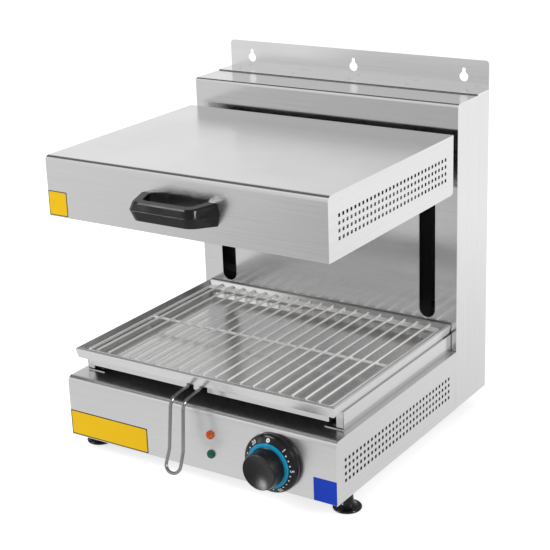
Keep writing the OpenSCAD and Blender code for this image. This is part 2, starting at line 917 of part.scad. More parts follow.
function opposite(p) = [-p[0], p[1], p[2], p[3]];

// Rod bent into a closed rectangle, wedged between the pan's flared sides
module grid_border() {
    corner = 6;
    color(steel) rod_path(rod_d / 2, [
        [0, grid_front_y, rods_z],
        [grid_x, grid_front_y, rods_z, corner],
        [grid_x, grid_rear_y, rods_z, corner],
        [-grid_x, grid_rear_y, rods_z, corner],
        [-grid_x, grid_front_y, rods_z, corner],
        [0, grid_front_y, rods_z],
    ]);
}

module grid_cross_rods() {
    color(steel) for (y = [grid_middle_y, grid_second_y])
        bar_x(rod_d / 2, rod_d / 2 - grid_x, grid_x - rod_d / 2, y, rods_z);
}

// Long wires welded on top of the rods
module grid_bars() {
    color(steel) for (i = [0:grid_wires - 1])
        bar_y(wire_d / 2, grid_front_y - 1.5, grid_rear_y + 4.2,
              (i - (grid_wires - 1) / 2) * grid_pitch, wires_z);
}

in_frame() base_shell();
in_frame() base_side_left();
in_frame() base_side_right();
in_frame() base_floor();
in_frame() column_front();
in_frame() column_side_left();
in_frame() column_side_right();
in_frame() column_back();
in_frame() wall_bracket();
in_frame() tray_channel_left();
in_frame() tray_channel_right();
in_frame() foot_front_left();
in_frame() foot_front_right();
in_frame() foot_rear_left();
in_frame() foot_rear_right();
in_frame() foot_nuts();
in_frame() scale_plate();
in_frame() lamp_lens_amber();
in_frame() lamp_lens_green();
in_frame() lamp_bodies();
in_frame() power_regulator();
in_frame() terminal_block();
in_frame() cable_gland();
in_frame() guide_rod_left();
in_frame() guide_rod_right();
in_frame() rod_brackets();
in_frame() lift_buffers();
in_frame() balance_bracket();
in_frame() balance_ribbons();
in_frame() balance_drum_left();
in_frame() balance_drum_right();
in_frame() hood_shell();
in_frame() hood_side_left();
in_frame() hood_side_right();
in_frame() hood_back();
in_frame() reflector();
in_frame() heating_element_front();
in_frame() heating_element_rear();
in_frame() element_supports();
in_frame() element_insulators();
in_frame() hood_handle();
in_frame() handle_screws();
in_frame() carriage_arm_left();
in_frame() carriage_arm_right();
in_frame() carriage_bar();
in_frame() guide_bushes();
in_frame() drip_tray();
in_frame() tray_apron();
in_frame() tray_pull();
in_frame() grid_border();
in_frame() grid_cross_rods();
in_frame() grid_bars();
in_frame() control_knob();
in_frame() knob_ring();
in_frame() regulator_shaft();
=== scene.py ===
"""Looks of the cheese melter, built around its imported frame: finishes, rivets, welds, stickers,
dial figures, studio light and the photograph's camera."""

import json
import math

import bmesh
import bpy
from mathutils import Matrix, Vector


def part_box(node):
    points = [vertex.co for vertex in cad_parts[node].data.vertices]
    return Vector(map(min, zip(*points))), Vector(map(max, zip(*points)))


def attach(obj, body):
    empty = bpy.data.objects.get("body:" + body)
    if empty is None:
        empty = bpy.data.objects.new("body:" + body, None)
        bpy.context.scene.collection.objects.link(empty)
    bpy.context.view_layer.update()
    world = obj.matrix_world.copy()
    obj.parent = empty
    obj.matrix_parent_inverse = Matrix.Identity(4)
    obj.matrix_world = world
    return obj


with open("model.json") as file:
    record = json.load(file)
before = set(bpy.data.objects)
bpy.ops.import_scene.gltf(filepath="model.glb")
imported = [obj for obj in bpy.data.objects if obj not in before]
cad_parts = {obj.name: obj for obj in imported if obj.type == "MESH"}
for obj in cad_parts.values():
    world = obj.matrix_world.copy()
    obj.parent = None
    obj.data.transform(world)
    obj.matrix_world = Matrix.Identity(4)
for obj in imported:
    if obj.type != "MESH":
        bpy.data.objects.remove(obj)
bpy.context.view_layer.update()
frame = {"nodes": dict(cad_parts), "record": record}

MM = 0.001
BASE_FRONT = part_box("base_shell")[0].y
BASE_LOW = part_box("base_shell")[0].z


def at(x, y, z):
    """A place in the frame, given in millimetres from the middle of the base's lower front
    edge: x to the right, y to the back, z up."""
    return Vector((x * MM, y * MM + BASE_FRONT, z * MM + BASE_LOW))


def corners(node):
    """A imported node's lowest and highest corner, in the same millimetres."""
    return [(Vector(corner) - at(0, 0, 0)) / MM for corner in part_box(node)]


# ---- shader building blocks ----------------------------------------------------------------

class Shader:
    """A material's node tree, with the few nodes that these finishes need."""

    def __init__(self, name):
        self.material = bpy.data.materials.new(name)
        self.material.use_nodes = True
        self.tree = self.material.node_tree
        self.surface = self.tree.nodes["Principled BSDF"]
        self.place = self.add("ShaderNodeTexCoord").outputs["Object"]

    def add(self, kind, **settings):
        made = self.tree.nodes.new(kind)
        for name, value in settings.items():
            setattr(made, name, value)
        return made

    def link(self, source, target):
        self.tree.links.new(source, target)

    def drive(self, socket, source):
        """Lets a texture drive one of the surface's sockets."""
        self.link(source, self.surface.inputs[socket])

    def fix(self, **values):
        """Sets constant values on the surface's own sockets."""
        for name, value in values.items():
            self.surface.inputs[name.replace("_", " ")].default_value = value

    def stretched(self, scale):
        """The object's coordinates, scaled differently along each axis."""
        mapping = self.add("ShaderNodeMapping")
        mapping.inputs["Scale"].default_value = scale
        self.link(self.place, mapping.inputs["Vector"])
        return mapping.outputs["Vector"]

    def noise(self, scale, detail=3.0, place=None, rough=0.5):
        texture = self.add("ShaderNodeTexNoise")
        texture.inputs["Scale"].default_value = scale
        texture.inputs["Detail"].default_value = detail
        texture.inputs["Roughness"].default_value = rough
        self.link(place or self.place, texture.inputs["Vector"])
        return texture.outputs["Fac"]

    def ranged(self, value, low, high, start=0.3, end=0.7):
        """Maps the span from start to end onto the span from low to high."""
        ranged = self.add("ShaderNodeMapRange")
        spans = {"From Min": start, "From Max": end, "To Min": low, "To Max": high}
        for name, number in spans.items():
            ranged.inputs[name].default_value = number
        self.link(value, ranged.inputs["Value"])
        return ranged.outputs["Result"]

    def ramp(self, value, *stops):
        """Colours along a value; each stop is a place on it and a colour."""
        node = self.add("ShaderNodeValToRGB")
        elements = node.color_ramp.elements
        while len(elements) < len(stops):
            elements.new(0.5)
        for element, (place, colour) in zip(elements, stops):
            element.position = place
            element.color = (*colour, 1.0)
        self.link(value, node.inputs["Fac"])
        return node.outputs["Color"]

    def total(self, first, second, share):
        """first + share * second"""
        sum_node = self.add("ShaderNodeMath", operation="MULTIPLY_ADD")
        self.link(second, sum_node.inputs[0])
        sum_node.inputs[1].default_value = share
        self.link(first, sum_node.inputs[2])
        return sum_node.outputs[0]

    def bump(self, height, strength, depth):
        """Chains one more layer of bump under the surface's normal; depth in metres."""
        bump = self.add("ShaderNodeBump")
        bump.inputs["Strength"].default_value = strength
        bump.inputs["Distance"].default_value = depth
        self.link(height, bump.inputs["Height"])
        if self.surface.inputs["Normal"].links:
            before = self.surface.inputs["Normal"].links[0].from_socket
            self.link(before, bump.inputs["Normal"])
        self.drive("Normal", bump.outputs["Normal"])


def scaled(colour, factor):
    return tuple(min(1.0, c * factor) for c in colour)


# ---- finishes ------------------------------------------------------------------------------

def brushed_steel(name, colour, grain, roughness=0.19, wave=1.0, metal=1.0):
    """Stainless sheet, brushed along the axis where grain is smallest; wave is how uneven the
    sheet lies."""
    s = Shader(name)
    lines = s.noise(1.0, detail=5.0, place=s.stretched(grain), rough=0.7)
    smears = s.noise(9.0, detail=2.0)
    s.drive("Base Color", s.ramp(lines, (0.25, scaled(colour, 0.95)), (0.75, scaled(colour, 1.04))))
    s.drive("Roughness", s.ranged(s.total(lines, smears, share=0.8), roughness - 0.04,
                                  roughness + 0.05, start=0.6, end=1.2))
    s.fix(Metallic=metal)
    s.bump(s.noise(3.5, detail=1.0), strength=0.12 * wave, depth=0.0015)
    s.bump(lines, strength=0.07, depth=0.00005)
    return s.material


def bright_steel(name, colour, roughness, metal=1.0):
    """Drawn wire or ground bar: nearly a mirror, with faint draw marks."""
    s = Shader(name)
    marks = s.noise(900.0, detail=2.0)
    s.drive("Base Color", s.ramp(marks, (0.3, scaled(colour, 0.9)), (0.7, colour)))
    s.drive("Roughness", s.ranged(s.noise(60.0), roughness * 0.7, roughness * 1.4))
    s.fix(Metallic=metal)
    s.bump(marks, strength=0.08, depth=0.00004)
    return s.material


def moulded_plastic(name, colour, roughness, grain=0.1):
    """Moulded plastic: fine spark-eroded grain, slightly uneven sheen and softened edges."""
    s = Shader(name)
    cloud = s.noise(35.0, detail=2.0)
    s.drive("Base Color", s.ramp(cloud, (0.3, scaled(colour, 0.85)), (0.7, scaled(colour, 1.15))))
    s.drive("Roughness", s.ranged(cloud, roughness - 0.04, roughness + 0.06))
    s.fix(Specular_IOR_Level=0.3)
    edge = s.add("ShaderNodeBevel", samples=4)
    edge.inputs["Radius"].default_value = 0.0008
    s.drive("Normal", edge.outputs["Normal"])
    s.bump(s.noise(2600.0, detail=1.0), strength=grain, depth=0.00005)
    return s.material


def coloured_lens(name, colour, deep):
    """Small moulded lens: clear skin over ribbed coloured plastic."""
    s = Shader(name)
    ribs = s.noise(500.0, detail=1.0, place=s.stretched((1.0, 0.1, 1.0)))
    s.drive("Base Color", s.ramp(ribs, (0.35, deep), (0.65, colour)))
    s.drive("Roughness", s.ranged(ribs, 0.12, 0.22))
    s.fix(Coat_Weight=0.2, Coat_Roughness=0.05, Specular_IOR_Level=0.25,
          Subsurface_Weight=0.25, Subsurface_Scale=0.002)
    return s.material


def heated_tube(name):
    """Sheath of a heating element: dark, matt, stained blue and brown by heat."""
    s = Shader(name)
    sooty, brown, blue = (0.06, 0.055, 0.05), (0.13, 0.11, 0.09), (0.10, 0.11, 0.13)
    stain = s.noise(22.0, detail=3.0)
    s.drive("Base Color", s.ramp(stain, (0.3, sooty), (0.5, brown), (0.7, blue)))
    s.drive("Roughness", s.ranged(stain, 0.42, 0.6))
    s.fix(Metallic=0.85)
    s.bump(s.noise(1200.0), strength=0.15, depth=0.0001)
    return s.material


def polished_pan(name):
    """Reflector sheet: polished, with a faint straw and blue heat tint in patches."""
    s = Shader(name)
    straw, plain, blue = (0.66, 0.63, 0.56), (0.70, 0.70, 0.70), (0.60, 0.63, 0.68)
    patch = s.noise(14.0, detail=2.0)
    s.drive("Base Color", s.ramp(patch, (0.35, straw), (0.55, plain), (0.75, blue)))
    s.drive("Roughness", s.ranged(patch, 0.12, 0.24))
    s.fix(Metallic=1.0)
    s.bump(s.noise(30.0, detail=1.0), strength=0.2, depth=0.0004)
    return s.material


def glazed_ceramic(name):
    """Off-white insulator with fine specks in its glaze."""
    s = Shader(name)
    speck = s.noise(400.0, detail=2.0)
    s.drive("Base Color", s.ramp(speck, (0.3, (0.66, 0.63, 0.56)), (0.6, (0.80, 0.78, 0.72))))
    s.drive("Roughness", s.ranged(speck, 0.2, 0.35))
    return s.material


def printed_film(name, colour):
    """Sticker film: even colour, slight orange-peel sheen."""
    s = Shader(name)
    peel = s.noise(240.0, detail=1.0)
    s.drive("Base Color", s.ramp(peel, (0.2, scaled(colour, 0.97)), (0.8, scaled(colour, 1.02))))
    s.drive("Roughness", s.ranged(peel, 0.30, 0.40))
    s.fix(Specular_IOR_Level=0.2)
    s.bump(peel, strength=0.1, depth=0.0001)
    return s.material


SHEET = (0.74, 0.74, 0.745)
# How fine the brush lines are along x, y and z
ACROSS = (7.0, 500.0, 500.0)
DEEP = (500.0, 7.0, 500.0)
UPRIGHT = (500.0, 500.0, 7.0)

sheet_across = brushed_steel("sheet brushed from side to side", SHEET, ACROSS)
sheet_deep = brushed_steel("sheet brushed from front to back", SHEET, DEEP)
sheet_upright = brushed_steel("sheet brushed up and down", SHEET, UPRIGHT)
# The bracket is the same sheet, lighter in colour: painted light, for the light that falls on it.
lightened_bracket_sheet = brushed_steel("bracket sheet lightened as painted light", (0.85, 0.85, 0.855), ACROSS)
base_sheet = brushed_steel("satin sheet of the base", SHEET, ACROSS, roughness=0.30)
hood_sheet = brushed_steel("fine sheet of the hood", SHEET, ACROSS, roughness=0.22)
column_sheet = brushed_steel("grey sheet of the column", (0.70, 0.70, 0.705), ACROSS,
                             roughness=0.16)
dull_sheet = brushed_steel("dull plated sheet", (0.42, 0.425, 0.43), ACROSS, roughness=0.42)
pressed_sheet = brushed_steel("bright tray sheet", (0.79, 0.79, 0.79), ACROSS, roughness=0.22,
                              wave=2.0, metal=0.8)
wire = bright_steel("bright drawn wire", (0.95, 0.94, 0.93), roughness=0.18, metal=0.5)
# The pull's polished wire is darkened in colour: a painted dark reflection, in place of the dark
# studio it would mirror.
darkened_pull_wire = bright_steel("pull wire darkened as painted reflection", (0.34, 0.34, 0.34), roughness=0.08)
ground_bar = bright_steel("ground bar", (0.66, 0.66, 0.67), roughness=0.1)
spring_band = bright_steel("blued spring band", (0.20, 0.24, 0.32), roughness=0.25)
bronze = bright_steel("oiled bronze", (0.45, 0.30, 0.14), roughness=0.35)
black_moulding = moulded_plastic("black moulding", (0.004, 0.004, 0.0043), 0.16, grain=0.04)
knob_moulding = moulded_plastic("satin moulding of the knob", (0.006, 0.006, 0.0065), 0.3,
                                grain=0.04)
black_rubber = moulded_plastic("black rubber", (0.02, 0.02, 0.02), 0.6, grain=0.3)
blue_moulding = moulded_plastic("blue moulding", (0.008, 0.34, 0.60), 0.3)
amber = coloured_lens("amber lens", (0.80, 0.17, 0.012), deep=(0.36, 0.05, 0.005))
green = coloured_lens("green lens", (0.012, 0.15, 0.10), deep=(0.004, 0.06, 0.045))
element = heated_tube("heated tube")
pan = polished_pan("polished reflector")
ceramic = glazed_ceramic("glazed ceramic")
yellow_film = printed_film("yellow film", (0.95, 0.58, 0.003))
blue_film = printed_film("blue film", (0.006, 0.05, 0.52))
black_print = printed_film("black print", (0.012, 0.012, 0.012))
white_print = printed_film("white print", (0.86, 0.86, 0.86))

BY_SLOT = {
    "brushed_sheet": sheet_across, "inner_sheet": dull_sheet, "bright_wire": wire,
    "polished_pan": pan, "ground_rod": ground_bar, "spring_steel": spring_band,
    "element_tube": element, "ceramic": ceramic, "bush_bronze": bronze,
    "black_plastic": black_moulding, "buffer_rubber": black_rubber,
    "blue_trim": blue_moulding, "amber_lens": amber, "green_lens": green,
}
BY_NODE = {
    "base_side_left": sheet_deep, "base_side_right": sheet_deep,
    "hood_side_left": sheet_deep, "hood_side_right": sheet_deep,
    "tray_channel_left": sheet_deep, "tray_channel_right": sheet_deep,
    "column_side_left": sheet_upright, "column_side_right": sheet_upright,
    "drip_tray": pressed_sheet, "wall_bracket": lightened_bracket_sheet, "base_shell": base_sheet,
    "hood_shell": hood_sheet, "column_front": column_sheet, "tray_pull": darkened_pull_wire,
    "control_knob": knob_moulding,
}


def dress_nodes():
    """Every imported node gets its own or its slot's finish."""
    for part in frame["record"]["subparts"]:
        finish = BY_NODE.get(part["node"], BY_SLOT[part["material_slot"]])
        mesh = frame["nodes"][part["node"]].data
        mesh.materials.clear()
        mesh.materials.append(finish)


dress_nodes()


# ---- mesh building blocks ------------------------------------------------------------------

def piece_from(bm, name, material):
    """A finished piece from a bmesh."""
    bmesh.ops.remove_doubles(bm, verts=bm.verts, dist=1e-7)
    bmesh.ops.recalc_face_normals(bm, faces=bm.faces)
    mesh = bpy.data.meshes.new(name)
    bm.to_mesh(mesh)
    bm.free()
    mesh.materials.append(material)
    made = bpy.data.objects.new(name, mesh)
    bpy.context.scene.collection.objects.link(made)
    return made


def rounded_outline(half_w, half_h, r, steps=5):
    """Points of a rectangle with round corners, in order."""
    points = []
    middles = ((half_w - r, half_h - r), (r - half_w, half_h - r),
               (r - half_w, r - half_h), (half_w - r, r - half_h))
    for quarter, (cx, cy) in enumerate(middles):
        for i in range(steps + 1):
            angle = math.pi / 2 * (quarter + i / steps)
            points.append((cx + r * math.cos(angle), cy + r * math.sin(angle)))
    return points


def film_on_front(name, centre, width, height, corner, thick, material):
    """A thin film with a softened edge, facing the front; sizes in millimetres."""
    bm = bmesh.new()
    loops = []
    cx, cy, cz = centre
    for inset, lift in ((0.0, 0.0), (0.0, thick * 0.7), (thick * 0.3, thick)):
        outline = rounded_outline(width / 2 - inset, height / 2 - inset, corner)
        loops.append([bm.verts.new(at(cx + x, cy - lift, cz + z)) for x, z in outline])
    for low, high in zip(loops, loops[1:]):
        for i in range(len(low)):
            j = (i + 1) % len(low)
            bm.faces.new((low[i], low[j], high[j], high[i]))
    bm.faces.new(loops[-1])
    bm.faces.new(list(reversed(loops[0])))
    return piece_from(bm, name, material)


def ride(piece, body):
    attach(piece, body)


# ---- domed heads, made by geometry nodes ---------------------------------------------------

def node_tree(name, inputs):
    """An empty geometry tree with named inputs; inputs is {name: (socket kind, default)}."""
    tree = bpy.data.node_groups.new(name, "GeometryNodeTree")
    tree.interface.new_socket("Geometry", in_out="INPUT", socket_type="NodeSocketGeometry")
    for label, (kind, default) in inputs.items():
        socket = tree.interface.new_socket(label, in_out="INPUT", socket_type=kind)
        if default is not None:
            socket.default_value = default
    tree.interface.new_socket("Geometry", in_out="OUTPUT", socket_type="NodeSocketGeometry")
    return tree, tree.nodes.new("NodeGroupInput"), tree.nodes.new("NodeGroupOutput")


def finish_tree(tree, geometry, given, result):
    """Makes the instances real, smooth and painted, and hands them to the tree's output."""
    nodes, links = tree.nodes, tree.links
    realise = nodes.new("GeometryNodeRealizeInstances")
    links.new(geometry, realise.inputs[0])
    shade = nodes.new("GeometryNodeSetShadeSmooth")
    shade.inputs["Shade Smooth"].default_value = True
    links.new(realise.outputs[0], shade.inputs[0])
    paint = nodes.new("GeometryNodeSetMaterial")
    links.new(shade.outputs[0], paint.inputs["Geometry"])
    links.new(given.outputs["Material"], paint.inputs["Material"])
    links.new(paint.outputs[0], result.inputs[0])


def head_tree():
    """Domed heads of rivets or weld beads, one on each point: flattened balls that the
    surface hides half of."""
    tree, given, result = node_tree("domed heads", {
        "Radius": ("NodeSocketFloat", 0.003), "Height": ("NodeSocketFloat", 0.0015),
        "Facing": ("NodeSocketVector", None), "Material": ("NodeSocketMaterial", None),
    })
    nodes, links = tree.nodes, tree.links
    ball = nodes.new("GeometryNodeMeshUVSphere")
    ball.inputs["Segments"].default_value = 24
    ball.inputs["Rings"].default_value = 10
    links.new(given.outputs["Radius"], ball.inputs["Radius"])
    flatness = nodes.new("ShaderNodeMath")
    flatness.operation = "DIVIDE"
    links.new(given.outputs["Height"], flatness.inputs[0])
    links.new(given.outputs["Radius"], flatness.inputs[1])
    squeeze = nodes.new("ShaderNodeCombineXYZ")
    squeeze.inputs["X"].default_value = 1.0
    squeeze.inputs["Y"].default_value = 1.0
    links.new(flatness.outputs[0], squeeze.inputs["Z"])
    turn = nodes.new("FunctionNodeAlignRotationToVector")
    turn.axis = "Z"
    links.new(given.outputs["Facing"], turn.inputs["Vector"])
    spread = nodes.new("GeometryNodeInstanceOnPoints")
    links.new(given.outputs["Geometry"], spread.inputs["Points"])
    links.new(ball.outputs["Mesh"], spread.inputs["Instance"])
    links.new(turn.outputs["Rotation"], spread.inputs["Rotation"])
    links.new(squeeze.outputs["Vector"], spread.inputs["Scale"])
    finish_tree(tree, spread.outputs["Instances"], given, result)
    return tree


def run_tree(name, tree, points, values):
    """Runs a tree on a cloud of points and returns the result as a plain mesh piece."""
    cloud = bpy.data.meshes.new(name + "_points")
    cloud.from_pydata(points, [], [])
    holder = bpy.data.objects.new(name, cloud)
    bpy.context.scene.collection.objects.link(holder)
    modifier = holder.modifiers.new("shape", "NODES")
    modifier.node_group = tree
    for item in tree.interface.items_tree:
        if item.in_out == "INPUT" and item.name in values:
            modifier[item.identifier] = values[item.name]
    bpy.context.view_layer.update()
    evaluated = holder.evaluated_get(bpy.context.evaluated_depsgraph_get())
    mesh = bpy.data.meshes.new_from_object(evaluated)
    holder.modifiers.remove(modifier)
    holder.data = mesh
    bpy.data.meshes.remove(cloud)
    mesh.name = name
    return holder


HEADS = head_tree()


def heads(name, places, facing, radius, height, material, body):
    """Domed heads at places, with sizes in millimetres."""
    made = run_tree(name, HEADS, places, {
        "Radius": radius * MM, "Height": height * MM, "Facing": facing, "Material": material,
    })
    ride(made, body)
    return made


# ---- rivets and welds, placed in millimetres -------------------------------------------------

UP = (0, 0, 1)
BACKWARD = (0, 1, 0)
BRACKET_LOW, BRACKET_HIGH = corners("wall_bracket")
BRACKET_THICK = 1.5
BRACKET_RIVETS_X = (-198, -99, 0, 99, 198)
BRACKET_RIVET_Y = BRACKET_LOW.y + 20
BRACKET_FOOT_TOP = BRACKET_LOW.z + BRACKET_THICK
CHANNEL_THICK = 1.0
CHANNEL_RIVET_X = 197
CHANNEL_RIVETS_Y = (46, 190, 334)
CHANNEL_FLANGE_TOP = corners("tray_channel_left")[0].z + CHANNEL_THICK
BACK_HIGH = corners("column_back")[1]
BACK_RIVET_X = BACK_HIGH.x - 6
BACK_RIVETS_Z = (30, 130, 230, 330, 430)
WIRE_R = 1.7
WIRES_EACH_SIDE = 9
WIRE_PITCH = (corners("grid_bars")[1].x - WIRE_R) / WIRES_EACH_SIDE
WIRES_X = [WIRE_PITCH * i for i in range(-WIRES_EACH_SIDE, WIRES_EACH_SIDE + 1)]
RODS_Y = (23.9, 178.0, 325.9, 332.9)
WELD_Z = 130.2


def rivets():
    """Rivets of the wall bracket, the tray's channels and the back panel."""
    on_bracket = [at(x, BRACKET_RIVET_Y, BRACKET_FOOT_TOP) for x in BRACKET_RIVETS_X]
    on_channels = [at(side * CHANNEL_RIVET_X, y, CHANNEL_FLANGE_TOP)
                   for side in (-1, 1) for y in CHANNEL_RIVETS_Y]
    on_back = [at(side * BACK_RIVET_X, BACK_HIGH.y, z)
               for side in (-1, 1) for z in BACK_RIVETS_Z]
    heads("bracket_rivets", on_bracket, UP, radius=2.5, height=0.7,
          material=sheet_across, body="frame")
    heads("channel_rivets", on_channels, UP, radius=2.6, height=0.8,
          material=sheet_across, body="frame")
    heads("back_rivets", on_back, BACKWARD, radius=2.8, height=1.4,
          material=sheet_across, body="frame")


def welds():
    """Weld beads where the grid's wires cross its rods."""
    crossings = [at(x, y, WELD_Z) for x in WIRES_X for y in RODS_Y]
    return heads("grid_welds", crossings, UP, radius=2.3, height=0.9,
                 material=wire, body="grid")


rivets()
grid_welds = welds()


# ---- stickers, sized in millimetres ----------------------------------------------------------

FILM = 0.15
LABEL_CORNER = 0.6
EDGE_CORNER = 1.0
PLATE_CORNER = 0.8
HOOD_FRONT = corners("hood_shell")[0].y


def yellow_label(name, centre, width, height, border, body):
    """A yellow film on a larger black one, which shows as a thin edge round it."""
    x, front, z = centre
    edge = film_on_front(name + "_edge", centre, width, height, EDGE_CORNER, FILM, black_print)
    ride(edge, body)
    label = film_on_front(name, (x, front - FILM, z), width - 2 * border, height - 2 * border,
                          LABEL_CORNER, FILM, yellow_film)
    ride(label, body)


def stickers():
    """The yellow labels of base and hood, and the thicker blue plate in the base's corner."""
    yellow_label("base_label", (-155.3, 0, 21), width=139.8, height=38, border=1.5,
                 body="frame")
    plate = film_on_front("corner_plate", (207.4, 0, 18), width=35.6, height=34,
                          corner=PLATE_CORNER, thick=FILM * 2, material=blue_film)
    ride(plate, "frame")
    yellow_label("hood_label", (-208.9, HOOD_FRONT, 356.5), width=32.8, height=35, border=1.2,
                 body="head")


def bracket_seam():
    """A thin black film along the front edge of the bracket's foot: painted shadow of the gap under
    it.
    """
    low, high = BRACKET_LOW, BRACKET_HIGH
    # Painted shadow: a black film where the gap under the bracket's foot only lies in shade.
    seam = film_on_front("bracket_seam", (0, low.y, low.z + BRACKET_THICK / 2),
                         width=high.x - low.x - 0.4, height=1.1, corner=0.4, thick=0.12,
                         material=black_print)
    ride(seam, "frame")


stickers()
bracket_seam()


# ---- dial figures, printed on the sloping ring of the scale plate -----------------------------

PLATE_LOW, PLATE_HIGH = corners("scale_plate")
# Middle of the dial: across and up
DIAL = ((PLATE_LOW.x + PLATE_HIGH.x) / 2, (PLATE_LOW.z + PLATE_HIGH.z) / 2)
# The slope's inner and outer edge: radius and distance from the base's front
SLOPE_IN = (33.2, 15.0)
SLOPE_OUT = (38.8, 12.0)
PRINT_THICK = 0.12
FIGURES = (1, 5, 10, 15, 20)
FIRST_ANGLE, TENTH_ANGLE, LAST_ANGLE = 42.0, 152.0, 321.0
# Sizes of the marks, and how far out from the slope's middle they sit
OFF_MARK_R, OFF_MARK_HOLE, OFF_MARK_UP = 3.0, 0.8, 0.2
FIGURE_HIGH, FIGURE_BOLD, FIGURE_UP = 5.5, 0.2, 0.1
DOT_R, DOT_UP = 1.05, -1.7
# Blender's own font is so much larger than its figures are high
FONT_PER_HEIGHT = 1.4


def on_slope(along, up, angle, lift):
    """A point on the sloping ring: along to the figure's right, up from the slope's middle
    outward, lift off the slope; the angle runs clockwise from the top."""
    rise = (SLOPE_OUT[0] - SLOPE_IN[0], SLOPE_OUT[1] - SLOPE_IN[1])
    length = math.hypot(*rise)
    r = (SLOPE_IN[0] + SLOPE_OUT[0]) / 2 + up * rise[0] / length - lift * rise[1] / length
    out = (SLOPE_IN[1] + SLOPE_OUT[1]) / 2 + up * rise[1] / length + lift * rise[0] / length
    turn = math.radians(angle) + along / r
    return at(DIAL[0] + r * math.sin(turn), -out, DIAL[1] + r * math.cos(turn))


def figure_mesh(text, size):
    """A figure of the dial as a flat mesh, centred, size high, in millimetres."""
    curve = bpy.data.curves.new("figure", "FONT")
    curve.body = text
    curve.size = size * FONT_PER_HEIGHT
    curve.align_x = "CENTER"
    curve.align_y = "CENTER"
    curve.offset = FIGURE_BOLD
    curve.resolution_u = 4
    holder = bpy.data.objects.new("figure", curve)
    bpy.context.scene.collection.objects.link(holder)
    bpy.context.view_layer.update()
    evaluated = holder.evaluated_get(bpy.context.evaluated_depsgraph_get())
    flat = bpy.data.meshes.new_from_object(evaluated)
    bpy.data.objects.remove(holder)
    bpy.data.curves.remove(curve)
    return flat


def disc_mesh(radius, hole=0.0):
    """A flat round dot, with a hole if asked."""
    steps = 20
    turns = [2 * math.pi * i / steps for i in range(steps)]
    bm = bmesh.new()

    def ring(r):
        return [bm.verts.new((r * math.cos(turn), r * math.sin(turn), 0)) for turn in turns]

    outer = ring(radius)
    if hole:
        inner = ring(hole)
        for i in range(steps):
            j = (i + 1) % steps
            bm.faces.new((outer[i], outer[j], inner[j], inner[i]))
    else:
        bm.faces.new(outer)
    flat = bpy.data.meshes.new("dot")
    bm.to_mesh(flat)
    bm.free()
    return flat


def flat_marks():
    """The dial's marks, each with its angle and how far out it sits: the off mark at the top,
    then figures with dots between."""
    yield 0.0, disc_mesh(OFF_MARK_R, OFF_MARK_HOLE), OFF_MARK_UP
    early = (TENTH_ANGLE - FIRST_ANGLE) / 9
    late = (LAST_ANGLE - TENTH_ANGLE) / 10
    for count in range(1, 21):
        if count <= 10:
            angle = FIRST_ANGLE + (count - 1) * early
        else:
            angle = TENTH_ANGLE + (count - 10) * late
        if count in FIGURES:
            yield angle, figure_mesh(str(count), FIGURE_HIGH), FIGURE_UP
        else:
            yield angle, disc_mesh(DOT_R), DOT_UP


def dial_marks():
    """All marks laid on the slope and given the print's thickness."""
    bm = bmesh.new()
    for angle, flat, up in flat_marks():
        start = len(bm.verts)
        bm.from_mesh(flat)
        bm.verts.ensure_lookup_table()
        for vert in bm.verts[start:]:
            vert.co = on_slope(vert.co.x, vert.co.y + up, angle, PRINT_THICK)
        bpy.data.meshes.remove(flat)
    top = list(bm.faces)
    bmesh.ops.recalc_face_normals(bm, faces=top)
    for face in top:
        if face.normal.y > 0:
            face.normal_flip()
    made = bmesh.ops.extrude_face_region(bm, geom=top)
    sunk = 1.4 * PRINT_THICK
    for vert in made["geom"]:
        if isinstance(vert, bmesh.types.BMVert):
            vert.co.y += sunk * MM
    bmesh.ops.recalc_face_normals(bm, faces=bm.faces)
    piece = piece_from(bm, "dial_marks", white_print)
    ride(piece, "frame")


dial_marks()


# ---- studio --------------------------------------------------------------------------------

FLOOR_SHADE = 0.8
FLOOR_GLOW = 0.62
# In reflections the floor is dark round this place and grows lighter in this direction
DARK_FLOOR = (0.25, -1.65, 0.0)
LIGHTER_TOWARD = (0.25, 0.97, 0.0)
WORLD_LIGHT = 0.58


def mixed(tree, fac, first, second):
    node = tree.nodes.new("ShaderNodeMixShader")
    tree.links.new(fac, node.inputs[0])
    tree.links.new(first, node.inputs[1])
    tree.links.new(second, node.inputs[2])
    return node.outputs[0]


def floor_material():
    """A pale table: white to the camera but for the soft shadow, and to reflections a light
    surface that grows darker in front of the right-hand side, where the studio ends."""
    s = Shader("pale floor")
    s.fix(Base_Color=(FLOOR_SHADE, FLOOR_SHADE, FLOOR_SHADE, 1.0), Roughness=0.95,
          Specular_IOR_Level=0.0)
    rays = s.add("ShaderNodeLightPath")
    glow = s.add("ShaderNodeEmission")
    glow.inputs["Strength"].default_value = FLOOR_GLOW
    lifted = s.add("ShaderNodeAddShader")
    s.link(s.surface.outputs[0], lifted.inputs[0])
    s.link(glow.outputs[0], lifted.inputs[1])
    far = s.add("ShaderNodeVectorMath", operation="DISTANCE")
    far.inputs[1].default_value = DARK_FLOOR
    s.link(s.place, far.inputs[0])
    behind = s.add("ShaderNodeVectorMath", operation="DOT_PRODUCT")
    behind.inputs[1].default_value = LIGHTER_TOWARD
    s.link(s.place, behind.inputs[0])
    front = s.ranged(far.outputs["Value"], low=0.28, high=0.80, start=0.25, end=1.35)
    rear = s.ranged(behind.outputs["Value"], low=0.0, high=0.28, start=0.1, end=1.2)
    mirrored = s.add("ShaderNodeEmission")
    s.link(s.total(front, rear, share=1.0), mirrored.inputs["Strength"])
    seen = mixed(s.tree, rays.outputs["Is Camera Ray"], s.surface.outputs[0], lifted.outputs[0])
    seen = mixed(s.tree, rays.outputs["Is Glossy Ray"], seen, mirrored.outputs[0])
    s.link(seen, s.tree.nodes["Material Output"].inputs["Surface"])
    return s.material


def add_floor():
    bm = bmesh.new()
    bmesh.ops.create_grid(bm, x_segments=1, y_segments=1, size=12.0)
    floor = piece_from(bm, "floor", floor_material())


